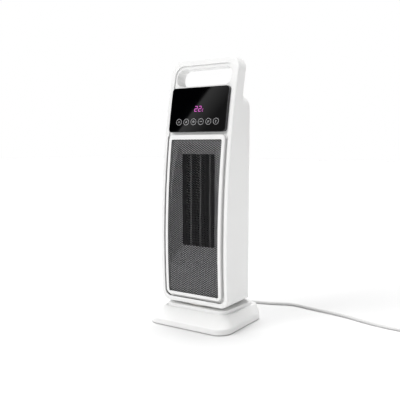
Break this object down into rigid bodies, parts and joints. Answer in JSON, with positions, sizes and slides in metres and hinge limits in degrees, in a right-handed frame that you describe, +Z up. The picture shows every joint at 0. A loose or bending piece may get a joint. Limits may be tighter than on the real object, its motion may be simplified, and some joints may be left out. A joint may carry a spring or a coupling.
{
  "type": "tower ceramic space heater",
  "caption": "Upright ceramic fan heater: bowed tower with top handle, touch panel and mesh outlet, swinging on a low base, with mains cord and plug.",
  "frame": {"origin": "centre of the base footprint, on the floor", "axes": "+Z up, the grille and the control panel face -Y, +X to the right as seen from the front"},
  "size_m": [0.5311, 0.2563, 0.5],
  "materials": {
    "white_shell": "satin white moulding",
    "grille_metal": "dark lacquered expanded metal",
    "panel_gloss": "high gloss black face",
    "panel_side": "satin dark grey",
    "display_face": "lit magenta digits behind a smoked face",
    "funnel_grey": "heat-proof light grey",
    "heat_frame": "black heat-proof frame",
    "fin_metal": "darkened corrugated fins",
    "ceramic": "grey ceramic bars in their tubes",
    "brass": "plain tabs",
    "fan_plastic": "black fan wheel",
    "inner_plastic": "plain inner moulding",
    "bearing_plastic": "natural acetal",
    "gear_plastic": "natural nylon",
    "motor_case": "zinc-coated steel",
    "spring_steel": "bright steel",
    "screw_steel": "zinc-coated",
    "board_green": "green solder mask",
    "board_parts": "relay and capacitor cases",
    "lead_sleeve": "silicone sleeve",
    "rocker_plastic": "black rocker",
    "foot_rubber": "soft rubber",
    "cord_jacket": "white vinyl jacket",
    "tie_strap": "white strap",
    "plug_plastic": "white moulded plug",
    "pin_nickel": "nickel-plated"
  },
  "bodies": {
    "base": {"base_shell": "white_shell", "base_plate": "white_shell", "base_feet": "foot_rubber", "base_screws": "screw_steel", "swivel_bush": "bearing_plastic", "oscillation_motor": "motor_case", "oscillation_screws": "screw_steel", "tip_switch": "inner_plastic", "tip_spring": "spring_steel", "terminal_block": "bearing_plastic", "base_leads": "lead_sleeve", "cord_gland": "cord_jacket", "cord_tube": "cord_jacket", "cord_coil": "cord_jacket", "cord_tail": "cord_jacket", "cord_tie": "tie_strap", "plug_body": "plug_plastic", "plug_relief": "plug_plastic", "plug_pins": "pin_nickel"},
    "tower": {"front_frame": "white_shell", "front_bezel": "white_shell", "front_grille": "grille_metal", "rear_housing": "white_shell", "panel_housing": "panel_side", "panel_glass": "panel_gloss", "display_board": "board_green", "led_display": "display_face", "touch_springs": "spring_steel", "control_board": "board_green", "board_parts": "board_parts", "outlet_funnel": "funnel_grey", "ptc_frame": "heat_frame", "ptc_fins": "fin_metal", "ptc_bars": "ceramic", "ptc_terminals": "brass", "thermal_cutout": "spring_steel", "fan_scroll": "inner_plastic", "fan_motor": "motor_case", "motor_mount": "spring_steel", "top_bearing": "foot_rubber", "switch_body": "inner_plastic", "tower_leads": "lead_sleeve", "element_leads": "lead_sleeve", "housing_screws": "screw_steel", "turntable_hub": "bearing_plastic", "turntable_gear": "gear_plastic", "hub_screws": "screw_steel"},
    "fan": {"fan_rotor": "fan_plastic", "rotor_shafts": "spring_steel"},
    "pinion": {"drive_pinion": "gear_plastic", "drive_shaft": "spring_steel"},
    "rocker": {"switch_rocker": "rocker_plastic"},
    "plunger": {"tip_plunger": "inner_plastic"}
  },
  "joints": [
    {"name": "swing", "type": "hinge", "parent": "base", "child": "tower", "pos_m": [0, 0.008, 0.03], "axis": [0, 0, 1], "range_deg": [-35, 35]},
    {"name": "pinion_spin", "type": "hinge", "parent": "base", "child": "pinion", "pos_m": [0.036, 0.008, 0.026], "axis": [0, 0, 1], "range_deg": [-176, 176]},
    {"name": "fan_spin", "type": "hinge", "parent": "tower", "child": "fan", "pos_m": [0, 0.026, 0.235], "axis": [0, 0, 1], "continuous": true},
    {"name": "rocker_tilt", "type": "hinge", "parent": "tower", "child": "rocker", "pos_m": [0, 0.06392, 0.078], "axis": [1, 0, 0], "range_deg": [-18, 0]},
    {"name": "plunger_slide", "type": "slide", "parent": "base", "child": "plunger", "axis": [0, 0, 1], "range_m": [-0.003, 0], "stiffness_N_per_m": 60, "springref_m": -0.008, "deforming": ["tip_spring"]}
  ],
  "couplings": [
    {"joint": "pinion_spin", "follows": "swing", "ratio": -5}
  ]
}
